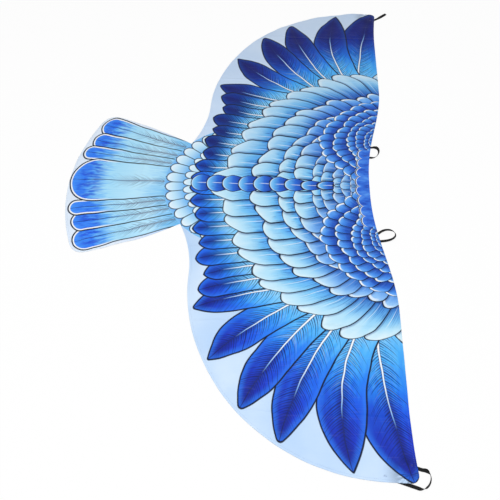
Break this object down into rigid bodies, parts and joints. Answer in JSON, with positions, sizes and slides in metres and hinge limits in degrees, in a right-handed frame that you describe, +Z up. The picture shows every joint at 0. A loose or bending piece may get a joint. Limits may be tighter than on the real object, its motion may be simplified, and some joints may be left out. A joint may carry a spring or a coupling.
{
  "type": "bird-wing costume cape",
  "caption": "Flat cloth dress-up cape in the outline of a spread bird, with folding wings, a fan tail, a stitched hem and elastic loops at the shoulders and wing tips.",
  "frame": {"origin": "middle of the scooped neck edge, on the surface that the cape lies on", "axes": "+X across the wings towards the wearer's right wing tip, +Y out of the neck edge, away from the tail, +Z up out of the printed face"},
  "size_m": [1.2089, 0.6661, 0.0125],
  "materials": {
    "printed_cloth": "printed polyester satin with a soft sheen",
    "hem_thread": "pale blue lockstitch thread",
    "elastic": "black woven flat elastic, matt",
    "tack_thread": "dark blue bar-tack thread"
  },
  "bodies": {
    "back": {"back_panel": "printed_cloth", "back_hem_seam": "hem_thread", "left_shoulder_loop_ends": "elastic", "right_shoulder_loop_ends": "elastic", "left_shoulder_bar_tacks": "tack_thread", "right_shoulder_bar_tacks": "tack_thread"},
    "left_wing": {"left_wing_panel": "printed_cloth", "left_wing_hem_seam": "hem_thread", "left_tip_loop_ends": "elastic", "left_tip_bar_tacks": "tack_thread"},
    "right_wing": {"right_wing_panel": "printed_cloth", "right_wing_hem_seam": "hem_thread", "right_tip_loop_ends": "elastic", "right_tip_bar_tacks": "tack_thread"},
    "tail": {"tail_panel": "printed_cloth", "tail_hem_seam": "hem_thread"},
    "left_shoulder_loop": {"left_shoulder_loop": "elastic"},
    "right_shoulder_loop": {"right_shoulder_loop": "elastic"},
    "left_tip_loop": {"left_tip_loop": "elastic"},
    "right_tip_loop": {"right_tip_loop": "elastic"}
  },
  "joints": [
    {"name": "left_wing_flap", "type": "hinge", "parent": "back", "child": "left_wing", "pos_m": [-0.152, -0.16, 0.0012], "axis": [0, 1, 0], "range_deg": [0, 80]},
    {"name": "right_wing_flap", "type": "hinge", "parent": "back", "child": "right_wing", "pos_m": [0.152, -0.16, 0.0012], "axis": [0, -1, 0], "range_deg": [0, 80]},
    {"name": "tail_swing", "type": "hinge", "parent": "back", "child": "tail", "pos_m": [0, -0.361, 0.0012], "axis": [-1, 0, 0], "range_deg": [0, 80]},
    {"name": "left_shoulder_loop_swing", "type": "hinge", "parent": "back", "child": "left_shoulder_loop", "pos_m": [-0.09983, 0.00772, 0.0007], "axis": [0.9898, -0.1423, 0], "range_deg": [0, 75]},
    {"name": "right_shoulder_loop_swing", "type": "hinge", "parent": "back", "child": "right_shoulder_loop", "pos_m": [0.12879, 0.01235, 0.0007], "axis": [0.9839, 0.1786, 0], "range_deg": [0, 75]},
    {"name": "left_tip_loop_swing", "type": "hinge", "parent": "left_wing", "child": "left_tip_loop", "pos_m": [-0.58261, 0.04915, 0.0007], "axis": [0.809, 0.5878, 0], "range_deg": [0, 75]},
    {"name": "right_tip_loop_swing", "type": "hinge", "parent": "right_wing", "child": "right_tip_loop", "pos_m": [0.59017, 0.04284, 0.0007], "axis": [0.9511, -0.309, 0], "range_deg": [0, 75]}
  ]
}
